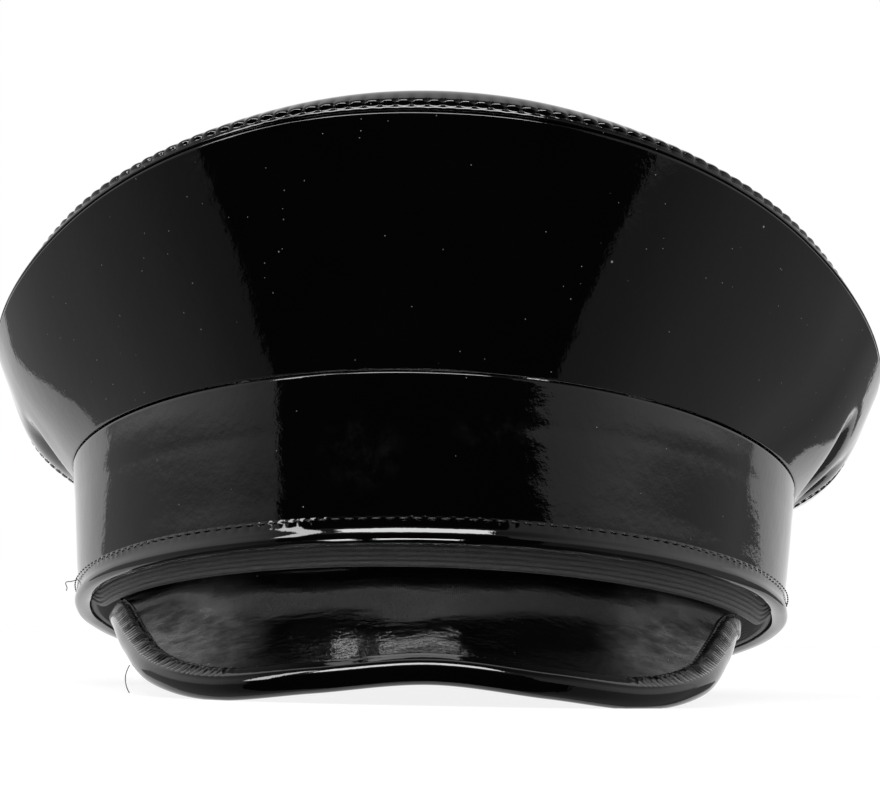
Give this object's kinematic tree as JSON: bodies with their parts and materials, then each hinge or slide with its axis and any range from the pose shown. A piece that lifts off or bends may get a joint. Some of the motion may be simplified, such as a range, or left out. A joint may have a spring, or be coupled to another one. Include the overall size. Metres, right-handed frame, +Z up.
{
  "type": "police cap",
  "caption": "Glossy peaked uniform cap with a tall stiff front, puffed oval top, plain band, rolled rim binding, ribbed inner ribbon and a bound arched peak.",
  "frame": {"origin": "middle of the cap's footprint, on the surface it stands on", "axes": "+Z up, -Y towards the front and the peak, +X to the right as seen from the front"},
  "size_m": [0.2378, 0.2852, 0.1371],
  "materials": {
    "crown_vinyl": "patent gloss",
    "band_vinyl": "patent gloss",
    "binding_vinyl": "gloss",
    "peak_vinyl": "patent gloss",
    "ribbed_elastic": "ribbed weave"
  },
  "bodies": {
    "root": {"top_panel": "crown_vinyl", "front_panel": "crown_vinyl", "back_panel": "crown_vinyl", "band": "band_vinyl", "band_binding": "binding_vinyl", "sweatband": "ribbed_elastic", "peak": "peak_vinyl", "peak_binding": "binding_vinyl"}
  },
  "joints": []
}
